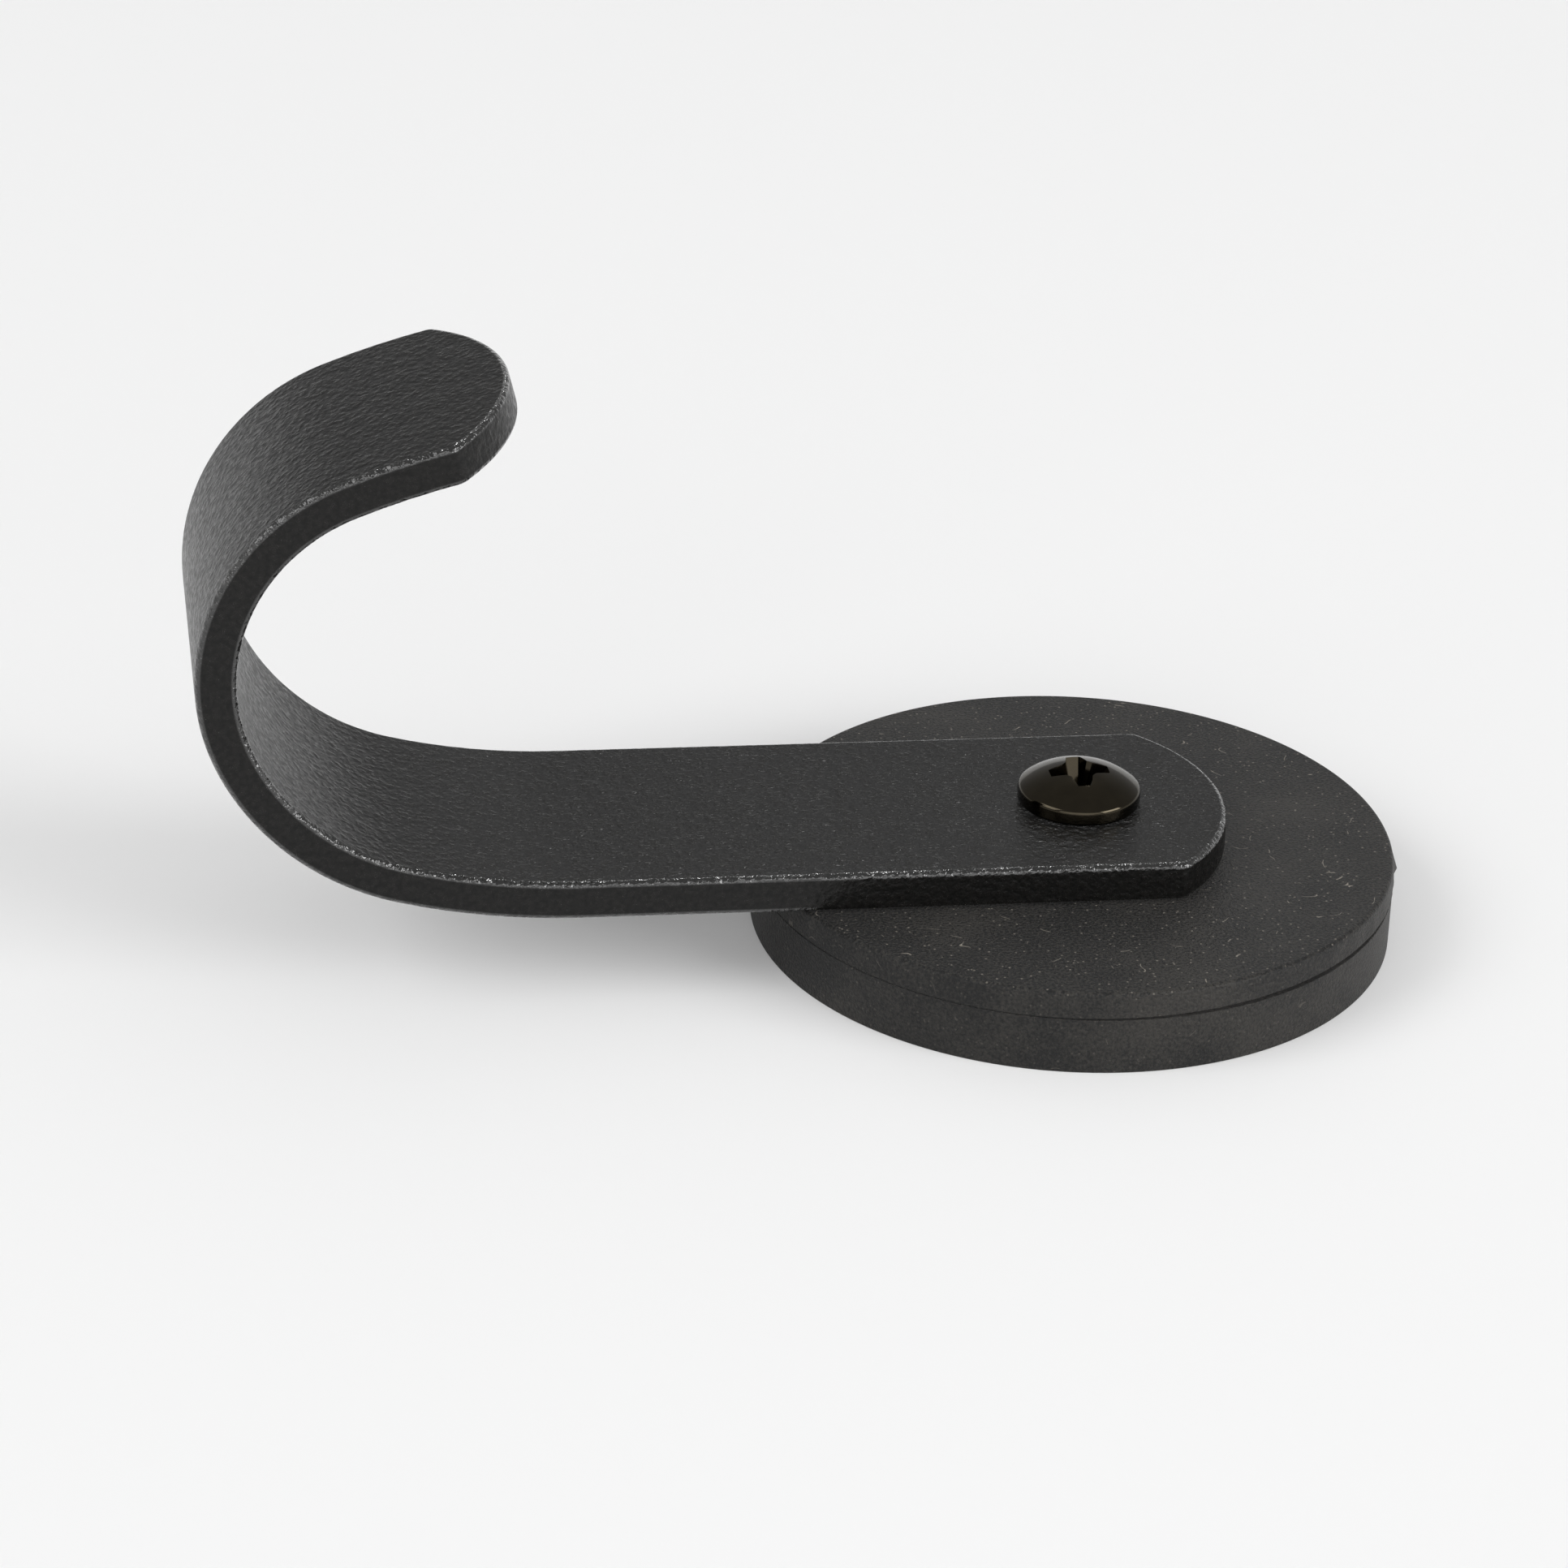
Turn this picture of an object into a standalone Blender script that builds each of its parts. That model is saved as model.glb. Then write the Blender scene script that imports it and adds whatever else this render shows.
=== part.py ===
"""A magnetic hook: a rubber-coated disc magnet with a rolled flat-steel hook screwed to it.

Lengths are in metres and +Z is up. The origin is the middle of the holding face, on which
the hook stands, and the screw's axis is the Z axis. The strip runs out along -X from the
screw, and rolls up and back over itself to make the hook.
"""

import math

import bmesh
import bpy
from mathutils import Matrix, Vector

# Fits and cuts
SEAT_GAP = 0.00025  # between faces that touch on the real hook, and round each hole's shaft
CUT_OVERRUN = 0.002  # how far a cutter stands past the face that it opens

# Rubber coating, moulded as a cup under the steel plate and a cover over it
DISC_RADIUS = 0.0215
FACE_SKIN = 0.0005  # rubber between the magnets and what they hold to
TOP_SKIN = 0.00075
SIDE_WALL = 0.00275
RUBBER_EDGE = 0.00035
COVER_DRAFT = 0.00015  # how much the cover narrows towards its top
LIP_OVERHANG = 0.0001  # the cover's rim stands this far outside the cup's
PARTING_SHARE = 0.4  # of the plate's thickness, where cover and cup meet

# Magnet set and the steel parts inside the rubber
MAGNET_RADIUS = 0.004
MAGNET_THICKNESS = 0.0023
MAGNET_EDGE = 0.0002
MAGNET_RIB = 0.0014  # least rubber left between two pockets
MAGNET_RING_SHARE = 0.6  # of the way from the bush's flange to the plate's rim
PLATE_THICKNESS = 0.0015
PLATE_EDGE = 0.0002
BUSH_RADIUS = 0.0037
BUSH_FLANGE_RADIUS = 0.0055
BUSH_FLANGE_THICKNESS = 0.001
BUSH_LEAD_IN = 0.0003

# Screw: a pan head with a cross recess
SCREW_RADIUS = 0.002
SCREW_POINT = 0.0004
THREAD_ENGAGEMENT = 0.0029
HEAD_RADIUS = 0.0041
HEAD_BEARING_RADIUS = 0.0037
HEAD_RIM_HEIGHT = 0.0009
HEAD_DOME_RISE = 0.00145
RECESS_SPAN = 0.00435  # across two opposite wings, and like the next three at the dome's crown
RECESS_WING_TIP = 0.001
RECESS_WING_ROOT = 0.0019  # a wing's width where it would reach the screw's axis
RECESS_CORE_RADIUS = 0.00125
RECESS_DEPTH = 0.0017
RECESS_FLOOR_SHARE = 0.62  # of each width, left at the recess's floor

# Hook: a flat strip with arc-cut ends, rolled through four arcs that run into each other
STRIP_WIDTH = 0.019
STRIP_THICKNESS = 0.0025
STRIP_EDGE = 0.0004
STRIP_END_RADIUS = 0.0128  # of the arc that cuts each end, wider than half the strip
STRIP_END_REACH = 0.0099  # from the screw's axis to the crown of the flat end
BEND_START = 0.034  # from the screw's axis to where the strip begins to rise
LEAD_IN_RADIUS = 0.045
LEAD_IN_ANGLE = math.radians(14.7)
HEEL_RADIUS = 0.0164
HEEL_ANGLE = math.radians(51.5)
CROOK_RADIUS = 0.0135
CROOK_ANGLE = math.radians(91.5)
TIP_RADIUS = 0.055
TIP_ANGLE = math.radians(7.5)
BENDS = (
    (LEAD_IN_RADIUS, LEAD_IN_ANGLE),
    (HEEL_RADIUS, HEEL_ANGLE),
    (CROOK_RADIUS, CROOK_ANGLE),
    (TIP_RADIUS, TIP_ANGLE),
)

# Levels of the stack, from the holding face up
MAGNET_BOTTOM = FACE_SKIN + SEAT_GAP
LAND_TOP = MAGNET_BOTTOM + MAGNET_THICKNESS  # the rubber between the magnets
BUSH_BOTTOM = LAND_TOP - BUSH_FLANGE_THICKNESS
PLATE_BOTTOM = LAND_TOP + SEAT_GAP
PLATE_TOP = PLATE_BOTTOM + PLATE_THICKNESS
CEILING = PLATE_TOP + SEAT_GAP
DISC_TOP = CEILING + TOP_SKIN
PARTING = PLATE_BOTTOM + PARTING_SHARE * PLATE_THICKNESS
CUP_TOP = PARTING - SEAT_GAP / 2
COVER_BOTTOM = PARTING + SEAT_GAP / 2
STRIP_MIDDLE = DISC_TOP + SEAT_GAP + STRIP_THICKNESS / 2
HEAD_BEARING = STRIP_MIDDLE + STRIP_THICKNESS / 2 + SEAT_GAP

# Radii, lengths and shares that follow from the pieces beside them
PLATE_RADIUS = DISC_RADIUS - SIDE_WALL - SEAT_GAP
MAGNET_RING_RADIUS = BUSH_FLANGE_RADIUS + MAGNET_RING_SHARE * (PLATE_RADIUS - BUSH_FLANGE_RADIUS)
MAGNET_PITCH = 2 * math.asin((MAGNET_RADIUS + SEAT_GAP + MAGNET_RIB / 2) / MAGNET_RING_RADIUS)
MAGNET_COUNT = 2 * int(math.pi / MAGNET_PITCH)  # even, so that the poles alternate all round
SCREW_LENGTH = HEAD_BEARING - DISC_TOP + THREAD_ENGAGEMENT
RECESS_CUT = RECESS_DEPTH + CUT_OVERRUN
RECESS_CUT_SHARE = RECESS_FLOOR_SHARE + (1 - RECESS_FLOOR_SHARE) * RECESS_CUT / RECESS_DEPTH

# Facets
DISC_STEPS = 96
BORE_STEPS = 40
HEAD_STEPS = 48
MAGNET_STEPS = 32
RUBBER_EDGE_FACETS = 3
DOME_FACETS = 8
HEAD_SIDE_FACETS = 4
DEGREES_PER_FACET = 4
STRIP_ROWS = 14
STRAIGHT_COLUMNS = 4
BEVEL_LIMIT = math.radians(30)
MERGE_DISTANCE = 0.00001


def clear_scene():
    for obj in list(bpy.data.objects):
        bpy.data.objects.remove(obj, do_unlink=True)


def add_collection(name, is_cutters=False):
    collection = bpy.data.collections.new(name)
    collection.hide_render = is_cutters
    bpy.context.scene.collection.children.link(collection)
    return collection


def make_material(name, color, roughness, metallic):
    material = bpy.data.materials.new(name)
    material.use_nodes = True
    shader = material.node_tree.nodes["Principled BSDF"]
    shader.inputs["Base Color"].default_value = (*color, 1)
    shader.inputs["Roughness"].default_value = roughness
    shader.inputs["Metallic"].default_value = metallic
    material.diffuse_color = (*color, 1)
    return material


def add_object(name, bm, collection, material=None, location=(0, 0, 0), parent=None):
    """Turns the bmesh into an object, which is shaded smooth except at its sharp edges."""
    mesh = bpy.data.meshes.new(name)
    bm.to_mesh(mesh)
    bm.free()
    obj = bpy.data.objects.new(name, mesh)
    collection.objects.link(obj)
    obj.location = location
    obj.parent = parent
    if material:
        mesh.materials.append(material)
        mesh.shade_smooth()
        mesh.set_sharp_from_angle(angle=BEVEL_LIMIT)
    else:
        obj.hide_render = True
        obj.display_type = "WIRE"
    return obj


def add_empty(name, collection, location=(0, 0, 0), parent=None):
    empty = bpy.data.objects.new(name, None)
    empty.empty_display_size = DISC_RADIUS
    collection.objects.link(empty)
    empty.location = location
    empty.parent = parent
    return empty


def outline_mesh(points, is_ring):
    """A chain of edges through (radius, height) points; a ring's last point joins its first."""
    bm = bmesh.new()
    verts = [bm.verts.new((radius, 0, height)) for radius, height in points]
    for first, second in zip(verts, verts[1:]):
        bm.edges.new((first, second))
    if is_ring:
        bm.edges.new((verts[-1], verts[0]))
    return bm


def turn(obj, steps):
    """Turns the object's outline about Z."""
    screw = obj.modifiers.new("turn", "SCREW")
    screw.steps = steps
    screw.render_steps = steps
    screw.use_merge_vertices = True
    screw.merge_threshold = MERGE_DISTANCE
    screw.use_smooth_shade = True


def round_edges(obj, width, segments=1):
    bevel = obj.modifiers.new("edges", "BEVEL")
    bevel.width = width
    bevel.segments = segments
    bevel.limit_method = "ANGLE"
    bevel.angle_limit = BEVEL_LIMIT


def cut(obj, cutter):
    boolean = obj.modifiers.new(cutter.name, "BOOLEAN")
    boolean.operation = "DIFFERENCE"
    boolean.solver = "EXACT"
    boolean.object = cutter


def cylinder(bm, radius, bottom, top, steps, center=(0, 0)):
    """Adds a closed upright cylinder to the bmesh."""
    place = Matrix.Translation((*center, (bottom + top) / 2))
    bmesh.ops.create_cone(
        bm,
        cap_ends=True,
        segments=steps,
        radius1=radius,
        radius2=radius,
        depth=top - bottom,
        matrix=place,
    )


def arc(center, radius, start, end, count):
    """Points on an arc in the outline's plane; angles run from the outline's +radius direction."""
    step = (end - start) / count
    turns = [start + step * i for i in range(count + 1)]
    return [(center[0] + radius * math.cos(a), center[1] + radius * math.sin(a)) for a in turns]


def arc_sagitta(radius, half_chord):
    """How far an arc's crown stands past a chord across it."""
    return radius - math.sqrt(radius**2 - half_chord**2)


def magnet_places():
    """Where each magnet's axis stands on the ring, as (x, y)."""
    for i in range(MAGNET_COUNT):
        angle = 2 * math.pi * (i + 0.5) / MAGNET_COUNT
        yield MAGNET_RING_RADIUS * math.cos(angle), MAGNET_RING_RADIUS * math.sin(angle)


def build_rubber_cup(parts, cutters, rubber, root):
    """The lower half of the coating, with a pocket for each magnet and for the bush's flange."""
    wall_radius = DISC_RADIUS - LIP_OVERHANG
    recess_radius = PLATE_RADIUS + SEAT_GAP
    flange_pocket_radius = BUSH_FLANGE_RADIUS + SEAT_GAP
    flange_pocket_floor = BUSH_BOTTOM - SEAT_GAP
    outline = [
        (0, flange_pocket_floor),
        (flange_pocket_radius, flange_pocket_floor),
        (flange_pocket_radius, LAND_TOP),
        (recess_radius, LAND_TOP),
        (recess_radius, CUP_TOP),
        (wall_radius, CUP_TOP),
    ]
    edge_center = (wall_radius - RUBBER_EDGE, RUBBER_EDGE)
    outline += arc(edge_center, RUBBER_EDGE, 0, -math.pi / 2, RUBBER_EDGE_FACETS)
    outline.append((0, 0))
    cup = add_object("rubber_cup", outline_mesh(outline, False), parts, rubber, parent=root)
    turn(cup, DISC_STEPS)

    pockets = bmesh.new()
    for center in magnet_places():
        pocket_top = LAND_TOP + CUT_OVERRUN
        cylinder(pockets, MAGNET_RADIUS + SEAT_GAP, FACE_SKIN, pocket_top, MAGNET_STEPS, center)
    cut(cup, add_object("magnet_pockets", pockets, cutters, parent=root))


def build_rubber_cover(parts, rubber, root):
    """The upper half of the coating, which closes over the plate and round the bush."""
    top = DISC_TOP - COVER_BOTTOM
    ceiling = CEILING - COVER_BOTTOM
    top_radius = DISC_RADIUS - COVER_DRAFT
    recess_radius = PLATE_RADIUS + SEAT_GAP
    hole_radius = BUSH_RADIUS + SEAT_GAP
    edge_center = (top_radius - RUBBER_EDGE, top - RUBBER_EDGE)
    outline = arc(edge_center, RUBBER_EDGE, math.pi / 2, 0, RUBBER_EDGE_FACETS)
    outline += [
        (DISC_RADIUS, 0),
        (recess_radius, 0),
        (recess_radius, ceiling),
        (hole_radius, ceiling),
        (hole_radius, top),
    ]
    place = (0, 0, COVER_BOTTOM)
    cover = add_object("rubber_cover", outline_mesh(outline, True), parts, rubber, place, root)
    turn(cover, DISC_STEPS)


def build_back_plate(parts, steel, root):
    """The steel plate that closes the magnets' circuit and carries the bush."""
    hole_radius = BUSH_RADIUS + SEAT_GAP
    outline = [
        (PLATE_RADIUS, PLATE_THICKNESS),
        (PLATE_RADIUS, 0),
        (hole_radius, 0),
        (hole_radius, PLATE_THICKNESS),
    ]
    place = (0, 0, PLATE_BOTTOM)
    plate = add_object("back_plate", outline_mesh(outline, True), parts, steel, place, root)
    turn(plate, DISC_STEPS)
    round_edges(plate, PLATE_EDGE)


def build_threaded_bush(parts, steel, root):
    """The flanged bush: its flange bears up on the plate, and its end is level with the cover."""
    top = DISC_TOP - BUSH_BOTTOM
    bore_radius = SCREW_RADIUS + SEAT_GAP
    outline = [
        (BUSH_RADIUS, top),
        (BUSH_RADIUS, BUSH_FLANGE_THICKNESS),
        (BUSH_FLANGE_RADIUS, BUSH_FLANGE_THICKNESS),
        (BUSH_FLANGE_RADIUS, 0),
        (bore_radius, 0),
        (bore_radius, top - BUSH_LEAD_IN),
        (bore_radius + BUSH_LEAD_IN, top),
    ]
    place = (0, 0, BUSH_BOTTOM)
    bush = add_object("threaded_bush", outline_mesh(outline, True), parts, steel, place, root)
    turn(bush, HEAD_STEPS)


def build_magnets(parts, nickel, root):
    """A ring of disc magnets, each in its own pocket of the cup."""
    for number, (x, y) in enumerate(magnet_places(), start=1):
        bm = bmesh.new()
        cylinder(bm, MAGNET_RADIUS, 0, MAGNET_THICKNESS, MAGNET_STEPS)
        place = (x, y, MAGNET_BOTTOM)
        magnet = add_object(f"magnet_{number}", bm, parts, nickel, place, root)
        round_edges(magnet, MAGNET_EDGE)


def recess_wing(turned):
    """A wing of the cross recess, wider at its root and narrower at its floor, at height 0."""
    bm = bmesh.new()
    for vert in bmesh.ops.create_cube(bm, size=1)["verts"]:
        is_floor = vert.co.z < 0
        is_root = vert.co.x < 0
        size_share = RECESS_FLOOR_SHARE if is_floor else RECESS_CUT_SHARE
        vert.co.x = 0 if is_root else RECESS_SPAN / 2 * size_share
        vert.co.y *= (RECESS_WING_ROOT if is_root else RECESS_WING_TIP) * size_share
        vert.co.z = 0 if is_floor else RECESS_CUT
    bmesh.ops.rotate(bm, verts=bm.verts, matrix=Matrix.Rotation(turned, 3, "Z"))
    return bm


def recess_core():
    """The round middle of the cross recess, in which the wings' roots end."""
    bm = bmesh.new()
    bmesh.ops.create_cone(
        bm,
        cap_ends=True,
        segments=BORE_STEPS,
        radius1=RECESS_CORE_RADIUS * RECESS_FLOOR_SHARE,
        radius2=RECESS_CORE_RADIUS * RECESS_CUT_SHARE,
        depth=RECESS_CUT,
        matrix=Matrix.Translation((0, 0, RECESS_CUT / 2)),
    )
    return bm


def build_screw(parts, cutters, black_nickel, root):
    """The clamping screw; height 0 of its outline is the bearing face under the head."""
    side_inset = HEAD_RADIUS - HEAD_BEARING_RADIUS
    side_radius = (HEAD_RIM_HEIGHT**2 + side_inset**2) / (2 * side_inset)
    side_center = (HEAD_RADIUS - side_radius, HEAD_RIM_HEIGHT)
    side_sweep = math.asin(HEAD_RIM_HEIGHT / side_radius)
    dome_radius = (HEAD_RADIUS**2 + HEAD_DOME_RISE**2) / (2 * HEAD_DOME_RISE)
    crown = HEAD_RIM_HEIGHT + HEAD_DOME_RISE
    dome_edge = math.acos(HEAD_RADIUS / dome_radius)
    dome = arc((0, crown - dome_radius), dome_radius, math.pi / 2, dome_edge, DOME_FACETS)
    outline = [(0, crown)]
    outline += dome[1:]
    outline += arc(side_center, side_radius, 0, -side_sweep, HEAD_SIDE_FACETS)[1:]
    outline += [
        (SCREW_RADIUS, 0),
        (SCREW_RADIUS, SCREW_POINT - SCREW_LENGTH),
        (SCREW_RADIUS - SCREW_POINT, -SCREW_LENGTH),
        (0, -SCREW_LENGTH),
    ]
    place = (0, 0, HEAD_BEARING)
    screw = add_object("clamp_screw", outline_mesh(outline, False), parts, black_nickel, place, root)
    turn(screw, HEAD_STEPS)

    floor = (0, 0, HEAD_BEARING + crown - RECESS_DEPTH)
    cut(screw, add_object("recess_core", recess_core(), cutters, None, floor, root))
    for quarter in range(4):
        wing = recess_wing(quarter * math.pi / 2)
        cut(screw, add_object(f"recess_wing_{quarter + 1}", wing, cutters, None, floor, root))


def onward(heading):
    """The strip's direction when it has turned through this angle from -X towards +Z."""
    return Vector((-math.cos(heading), 0, math.sin(heading)))


def inward(heading):
    """The direction from the strip to the inside of its roll."""
    return Vector((math.sin(heading), 0, math.cos(heading)))


def rolled_place(distance, across):
    """Where a point of the flat blank's mid-surface lies once the strip is rolled.

    The distance is along the strip from the screw's axis towards the tip.
    """
    if distance <= BEND_START:
        return Vector((-distance, across, 0))
    point = Vector((-BEND_START, across, 0))
    heading = 0
    left = distance - BEND_START
    for radius, angle in BENDS:
        turned = min(left / radius, angle)
        center = point + radius * inward(heading)
        heading += turned
        point = center - radius * inward(heading)
        left -= turned * radius
    return point + left * onward(heading)


def blank_stations():
    """Distances along the strip at which it is divided, between the corners of its two ends."""
    sagitta = arc_sagitta(STRIP_END_RADIUS, STRIP_WIDTH / 2)
    near_corner = sagitta - STRIP_END_REACH
    straight_start = near_corner + STRIP_THICKNESS
    step = (BEND_START - straight_start) / STRAIGHT_COLUMNS
    stations = [straight_start + step * i for i in range(STRAIGHT_COLUMNS + 1)]
    for radius, angle in BENDS:
        count = math.ceil(math.degrees(angle) / DEGREES_PER_FACET)
        stations += [stations[-1] + radius * angle * (i + 1) / count for i in range(count)]
    far_corner = stations.pop()
    return near_corner, stations, far_corner


def rolled_sheet():
    """The strip's mid-surface: a flat blank with arc-cut ends, divided into rows and rolled."""
    sagitta = arc_sagitta(STRIP_END_RADIUS, STRIP_WIDTH / 2)
    near_corner, stations, far_corner = blank_stations()
    columns = len(stations) + 1
    bm = bmesh.new()
    bmesh.ops.create_grid(bm, x_segments=columns, y_segments=STRIP_ROWS, size=1)
    for vert in bm.verts:
        column = round((vert.co.x + 1) * columns / 2)
        across = vert.co.y * STRIP_WIDTH / 2
        bulge = sagitta - arc_sagitta(STRIP_END_RADIUS, across)
        if column == 0:
            distance = near_corner - bulge
        elif column == columns:
            distance = far_corner + bulge
        else:
            distance = stations[column - 1]
        vert.co = rolled_place(distance, across)
    return bm


def build_hook_strip(parts, cutters, powder_coat, swivel):
    """The rolled strip, with a plain hole for the screw; the swivel empty is on its hole's axis."""
    strip = add_object("hook_strip", rolled_sheet(), parts, powder_coat, parent=swivel)
    wall = strip.modifiers.new("thickness", "SOLIDIFY")
    wall.thickness = STRIP_THICKNESS
    wall.offset = 0
    wall.use_even_offset = True
    round_edges(strip, STRIP_EDGE, segments=2)

    hole = bmesh.new()
    reach = STRIP_THICKNESS / 2 + CUT_OVERRUN
    cylinder(hole, SCREW_RADIUS + SEAT_GAP, -reach, reach, BORE_STEPS)
    cut(strip, add_object("screw_hole", hole, cutters, parent=swivel))


def main():
    clear_scene()
    parts = add_collection("magnetic_hook")
    cutters = add_collection("cutters", is_cutters=True)
    root = add_empty("magnet_base", parts)
    swivel = add_empty("hook_swivel", parts, (0, 0, STRIP_MIDDLE), root)

    rubber = make_material("black_rubber", (0.022, 0.022, 0.023), 0.75, 0)
    powder_coat = make_material("black_powder_coat", (0.018, 0.018, 0.018), 0.5, 0)
    black_nickel = make_material("black_nickel", (0.075, 0.07, 0.06), 0.18, 1)
    zinc = make_material("zinc_plated_steel", (0.55, 0.56, 0.58), 0.35, 1)
    nickel = make_material("nickel_plate", (0.66, 0.63, 0.58), 0.22, 1)

    build_rubber_cup(parts, cutters, rubber, root)
    build_magnets(parts, nickel, root)
    build_threaded_bush(parts, zinc, root)
    build_back_plate(parts, zinc, root)
    build_rubber_cover(parts, rubber, root)
    build_hook_strip(parts, cutters, powder_coat, swivel)
    build_screw(parts, cutters, black_nickel, root)


main()
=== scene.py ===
"""A magnetic hook: its finished surfaces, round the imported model.

Lengths are in metres and +Z is up. The disc's holding face lies on the floor at height 0, the
screw's axis is the Z axis, and the strip runs out along -X before it rolls up.
"""

import math

import bmesh
import bpy
from mathutils import Matrix, Quaternion, Vector, noise


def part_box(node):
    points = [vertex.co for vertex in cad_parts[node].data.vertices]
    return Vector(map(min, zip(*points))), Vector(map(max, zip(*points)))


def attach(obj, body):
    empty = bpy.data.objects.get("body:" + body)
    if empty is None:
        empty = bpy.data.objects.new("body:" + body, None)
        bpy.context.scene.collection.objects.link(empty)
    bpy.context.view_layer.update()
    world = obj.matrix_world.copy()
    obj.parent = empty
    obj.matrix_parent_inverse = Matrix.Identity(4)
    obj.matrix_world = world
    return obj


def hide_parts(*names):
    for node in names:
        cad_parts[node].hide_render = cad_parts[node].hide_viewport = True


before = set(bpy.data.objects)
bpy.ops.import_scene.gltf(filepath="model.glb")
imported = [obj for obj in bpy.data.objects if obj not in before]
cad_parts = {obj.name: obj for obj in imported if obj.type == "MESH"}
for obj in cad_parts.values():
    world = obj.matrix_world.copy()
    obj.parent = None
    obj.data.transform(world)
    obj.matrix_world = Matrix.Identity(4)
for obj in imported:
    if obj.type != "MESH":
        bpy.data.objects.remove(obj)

MM = 0.001
HAIR = 0.001 * MM  # two points nearer than this are the same point
SHARP_BEND = math.radians(30)  # an edge that bends more than this is sharp
EDGE_SEGMENTS = 6  # in a rounded edge
CORNER_SEGMENTS = 4
SMALL_EDGE_SEGMENTS = 3
FLATS_WEIGHT = 80  # per cent
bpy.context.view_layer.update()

# Camera, at the photograph's viewing angle
IMAGE_WIDTH = 1932  # pixels
FOCAL_LENGTH = 7132  # pixels
SENSOR_WIDTH = 36  # millimetres
CAMERA_PLACE = Vector((-71.2, -335.7, 185.5)) * MM
CAMERA_AZIMUTH = math.radians(-8.72)
CAMERA_ELEVATION = math.radians(27.27)
CAMERA_ROLL = math.radians(2.3)
CAMERA_NEAR = 10 * MM
CAMERA_FAR = 20000 * MM

# Room: a round white sweep in dim surroundings, a soft box to the right and to the left, a bounce card
# in front, and a small lamp behind that gives the glints and casts no shadow
SWEEP_RADIUS = 2000 * MM
SWEEP_ROUND = 100 * MM
SWEEP_ROUND_POINTS = 8
SWEEP_WALL = 360 * MM
SWEEP_STEPS = 128
SWEEP_COLOR = "F2F2F2"
SWEEP_PAINTED_GLOW = 0.03  # the share of plain white painted over the paper everywhere as it is seen: a painted glow, which lightens the shadows on it
SWEEP_FADE = (500 * MM, 1500 * MM)  # between these radii the lamps' light gives way to plain white
LAMP_DISTANCE = 1800 * MM
# A lamp's azimuth and elevation in degrees, width, height, power in watts, and if it casts a shadow
LAMPS = {
    "right_soft_box": (-36, 25, 1100 * MM, 700 * MM, 17, True),
    "left_soft_box": (196, 38, 1100 * MM, 1000 * MM, 11.5, True),
    "front_card": (-96, 20, 2600 * MM, 900 * MM, 12, True),
    "back_lamp": (76, 54, 120 * MM, 120 * MM, 5.4, False),
}
ROOM_LIGHT = 0.4

# Rubber disc, in two shells that meet at the parting line
COVER_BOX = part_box("rubber_cover")
CUP_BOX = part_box("rubber_cup")
PLATE_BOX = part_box("back_plate")
BUSH_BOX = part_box("threaded_bush")
MAGNET_BOXES = [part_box(name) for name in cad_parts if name.startswith("magnet_")]
DISC_RADIUS = COVER_BOX[1].x
DISC_TOP = COVER_BOX[1].z
PARTING = (COVER_BOX[0].z + CUP_BOX[1].z) / 2
SEAT_GAP = COVER_BOX[0].z - CUP_BOX[1].z
DISC_STEPS = 320
POCKET_STEPS = 48
COVER_DRAFT = 0.15 * MM
MOULD_SHIFT = 0.02 * MM  # the upper mould stood this far off towards +X, and the lower one towards -X
LIP_STEP = 0.01 * MM  # how much wider the cover is than the cup
PARTING_GROOVE = 0.04 * MM
GROOVE_LIFT = 0.33 * MM  # how far the cover's lower edge stands up where the moulds met worst
RAGGED_EDGE = 0.12 * MM  # how far the flash along that edge wanders
RAGGED_LENGTH = 1.1 * MM
RAGGED_TURN = math.radians(-35)  # where they met worst, from the +X axis
TAG_TURN = math.radians(-8)  # a torn tag of flash
TAG_REACH = 0.3 * MM
TAG_WIDTH = 0.7 * MM
TOP_EDGE = 0.3 * MM
PARTING_EDGE = 0.06 * MM
BOTTOM_EDGE = 0.12 * MM

# Hook strip: a flat blank with arc-cut ends, rolled through four arcs
STRIP_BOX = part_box("hook_strip")
COAT = 0.08 * MM  # the powder coat's thickness over the bare steel of the CAD strip
STEEL_THICKNESS = 2.5 * MM
STRIP_WIDTH = 19 * MM + 2 * COAT
STRIP_THICKNESS = STEEL_THICKNESS + 2 * COAT
STRIP_TOP = STRIP_BOX[0].z + STEEL_THICKNESS + COAT
STRIP_EDGE = 0.4 * MM
STRIP_CORNER = 0.35 * MM
END_RADIUS = 12.8 * MM + COAT
END_REACH = STRIP_BOX[1].x + COAT
END_STEPS = 156
HOLE_RADIUS = 2.25 * MM - COAT
HOLE_STEPS = 64
BEND_START = 34 * MM
BENDS = (
    (45 * MM, math.radians(14.7)),
    (16.4 * MM, math.radians(51.5)),
    (13.5 * MM, math.radians(91.5)),
    (55 * MM, math.radians(7.5)),
)
DEGREES_PER_FACET = 2

# Screw: a pan head with a cross recess on a threaded shank
SCREW_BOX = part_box("clamp_screw")
HEAD_RADIUS = SCREW_BOX[1].x
HEAD_LIFT = 0.02 * MM  # from the strip to the head's bearing face
HEAD_RIM = STRIP_TOP + 1.05 * MM
HEAD_CROWN = HEAD_RIM + 1.45 * MM
HEAD_RIM_EDGE = 0.32 * MM
HEAD_FOOT = 0.25 * MM  # the rounding of the head's lower edge
HEAD_STEPS = 192
SCREW_SHIFT = 0.15 * MM  # the bush was moulded in this far towards +X
DOME_POINTS = 24
FOOT_POINTS = 8
SHANK_RADIUS = 2 * MM
THREAD_PITCH = 0.7 * MM
THREAD_DEPTH = 0.4 * MM
THREAD_ROWS = 10  # of vertices, in each pitch
RECESS_WINGS = 4
RECESS_TURN = math.radians(2)
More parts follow.
